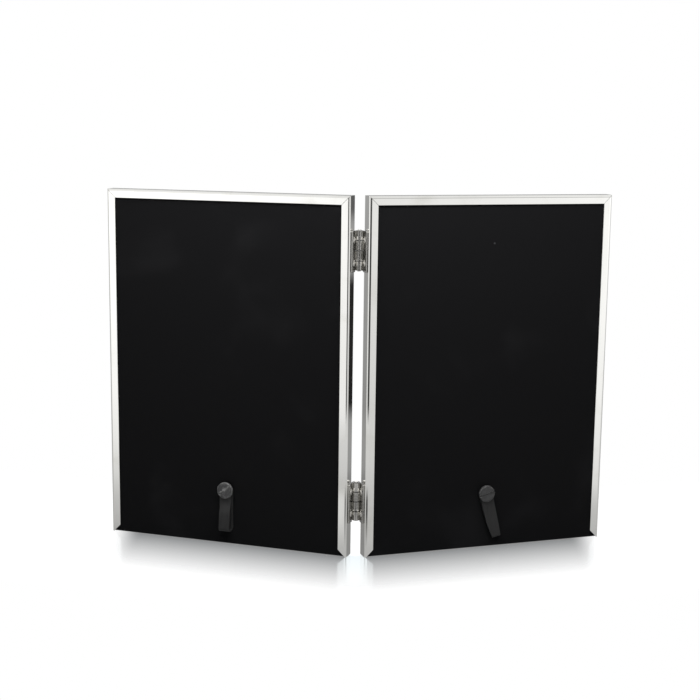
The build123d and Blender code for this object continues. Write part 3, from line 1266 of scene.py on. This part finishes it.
def makeFloor():
    clearSelection()
    bpy.ops.mesh.primitive_plane_add(size=stage["floorSize"], location=(0, 0, 0))
    floor = named("floor")
    material, tree, shader, place = newMaterial("paleFloor")
    tree.nodes.remove(shader)
    spot = splitPlace(tree, place)
    # distance in front of the two backs
    aside = maths(tree, "ABSOLUTE", spot["X"])
    edgeAt = hingeAxis.y + facingLow.y / math.cos(foldTurn)
    edge = maths(tree, "MULTIPLY_ADD", aside, math.tan(foldTurn), edgeAt)
    away = product(tree, maths(tree, "SUBTRACT", edge, spot["Y"]), math.cos(foldTurn))
    distance = maths(tree, "ABSOLUTE", away)
    # plain white for the camera
    matt = closure(tree, "ShaderNodeBsdfDiffuse", {"Color": stage["white"]})
    glow = closure(tree, "ShaderNodeEmission", {"Strength": stage["glow"]})
    seen = seenRays(tree, "Is Camera Ray", "Is Transmission Ray")
    base = mixShader(tree, product(tree, seen, stage["lift"]), matt, glow)
    # the floor's own reflection fades with the distance, on both sides of the frames
    rear = maths(tree, "SUBTRACT", facingLow.y - frontPlane, away)
    frontFade = product(
        tree, spread(tree, away, 0.0, stage["mirrorReach"], 1.0, 0.0),
        spread(tree, away, *stage["mirrorBack"]),
    )
    rearFade = product(
        tree, spread(tree, rear, 0.0, stage["rearReach"], stage["rearMirror"], 0.0),
        spread(tree, aside, *stage["mirrorGap"]),
    )
    isRear = maths(tree, "LESS_THAN", away, stage["mirrorBack"][0])
    fade = mixColour(tree, isRear, frontFade, rearFade)
    ends = [cadBox[1][0] + margin for margin in stage["mirrorEnds"]]
    sideFade = spread(tree, aside, *ends, 1.0, 0.0, smooth=True)
    gloss = closure(
        tree, "ShaderNodeBsdfGlossy",
        {"Color": stage["mirrorTint"], "Roughness": stage["mirrorBlur"]},
    )
    tint = closure(tree, "ShaderNodeEmission", {"Color": stage["mirrorShade"]})
    mirror = closure(tree, "ShaderNodeAddShader", {0: gloss, 1: tint})
    shown = mixShader(tree, product(tree, fade, sideFade, stage["mirror"]), base, mirror)
    isClear = spread(tree, distance, *stage["clearFrom"])
    isClear = product(tree, isClear, seenRays(tree, "Is Camera Ray"))
    shown = mixShader(tree, isClear, shown, closure(tree, "ShaderNodeBsdfTransparent"))
    # what the metal sees of the floor
    centre = hingeAxis.y - frameDepth - stage["compassFront"]
    turn = compassTurn(tree, spot["X"], maths(tree, "SUBTRACT", spot["Y"], centre))
    reach = lengthOf(tree, place)
    offCard = maths(tree, "SUBTRACT", turn, math.radians(darkCards["turn"]))
    card = product(
        tree, withinTurn(tree, offCard, darkCards["width"]),
        byDistance(tree, reach, darkCards["shares"]),
    )
    level = product(
        tree, byDistance(tree, distance, nearShade), maths(tree, "SUBTRACT", 1.0, card)
    )
    plain = product(
        tree, byDistance(tree, reach, plainShares),
        spread(tree, away, *stage["plainFront"], stage["plainRear"], 1.0),
        spread(tree, aside, *stage["plainAside"], 1.0, 0.0),
    )
    around = mixColour(tree, plain, surroundLevel(tree, turn), stage["plainLevel"])
    reflected = closure(tree, "ShaderNodeEmission", {"Color": around, "Strength": level})
    surface = mixShader(tree, seenRays(tree, "Is Glossy Ray"), shown, reflected)
    feed(tree, tree.nodes["Material Output"], {"Surface": surface})
    floor.data.materials.append(material)


def makeSky():
    world = bpy.data.worlds.new("studio")
    bpy.context.scene.world = world
    world.use_nodes = True
    tree = world.node_tree
    way = splitPlace(tree, addNode(tree, "ShaderNodeTexCoord").outputs["Generated"])
    turn = compassTurn(tree, way["X"], way["Y"])
    front = product(
        tree, spread(tree, way["Y"], *sky["frontSide"], 1.0 - sky["front"], 0.0),
        spread(tree, way["Z"], *sky["frontRise"]),
        spread(tree, way["Z"], *sky["frontFall"], 1.0, 0.0),
    )
    metalSees = mixColour(tree, front, surroundLevel(tree, turn), allBlack)
    # white straight ahead, for the floor's reflection seen from the glass side
    metalSees = mixColour(tree, withinTurn(tree, turn, sky["aheadTurn"]), metalSees, allWhite)
    # white above the low part behind, for the floor's reflection of the gap
    rear = product(
        tree, spread(tree, way["Z"], *sky["rearRise"]), spread(tree, way["Y"], *sky["rearSide"])
    )
    metalSees = mixColour(tree, rear, metalSees, allWhite)
    overhead = spread(tree, way["Z"], *sky["zenithRise"])
    metalSees = mixColour(tree, overhead, metalSees, sky["zenith"])
    isWhite = seenRays(tree, "Is Camera Ray", "Is Transmission Ray")
    level = maths(tree, "MAXIMUM", isWhite, sky["level"])
    even = closure(tree, "ShaderNodeCombineColor", {0: level, 1: level, 2: level})
    colour = mixColour(tree, seenRays(tree, "Is Glossy Ray"), even, metalSees)
    feed(tree, tree.nodes["Background"], {"Color": colour, "Strength": 1.0})


lamps = {
    "overhead": {"spot": (0.0, -0.2, 1.5), "aim": 0.08, "size": (0.8, 0.8), "watts": 6.0},
    "front": {"spot": (0.75, -1.0, 1.3), "aim": 0.09, "size": (0.7, 0.7), "watts": 4.0},
    "strip": {"spot": (0.0, -0.13, 0.31), "aim": 0.12, "size": (0.42, 0.05), "watts": 1.9},
    "rear": {"spot": (0.0, 1.2, 1.0), "aim": 0.09, "size": (1.0, 1.0), "watts": 14.0},
}


def makeLamps():
    for name, plan in lamps.items():
        spot = Vector(plan["spot"])
        aim = (Vector((0, 0, plan["aim"])) - spot).to_track_quat("-Z", "Y")
        bpy.ops.object.light_add(type="AREA", location=spot, rotation=aim.to_euler())
        lamp = bpy.context.object
        lamp.name = name
        lamp.data.shape = "RECTANGLE"
        lamp.data.size, lamp.data.size_y = plan["size"]
        lamp.data.energy = plan["watts"]
        lamp.visible_glossy = name == "overhead"  # the rims would mirror the others as white dashes


camera = {
    "spot": Vector((-4.01, -671.22, 219.77)) * mm,  # from the hinge axis
    "downTilt": 9.61,
    "roll": 0.72,
    "lens": 69.84,
    "film": 36.0,
    "nearest": 10 * mm,
}


def makeCamera():
    clearSelection()
    bpy.ops.object.camera_add(location=hingeAxis + camera["spot"])
    eye = bpy.context.object
    eye.rotation_mode = "ZXY"
    eye.rotation_euler = (math.radians(90 - camera["downTilt"]), 0, 0)
    eye.rotation_euler.rotate_axis("Z", math.radians(camera["roll"]))
    eye.data.lens = camera["lens"]
    eye.data.sensor_width = camera["film"]
    eye.data.clip_start = camera["nearest"]
    bpy.context.scene.camera = eye


clearSelection()
makeFloor()
makeSky()
makeLamps()
makeCamera()
bpy.context.scene.view_settings.view_transform = "Standard"
print("floor, light and camera done")

clearSelection()
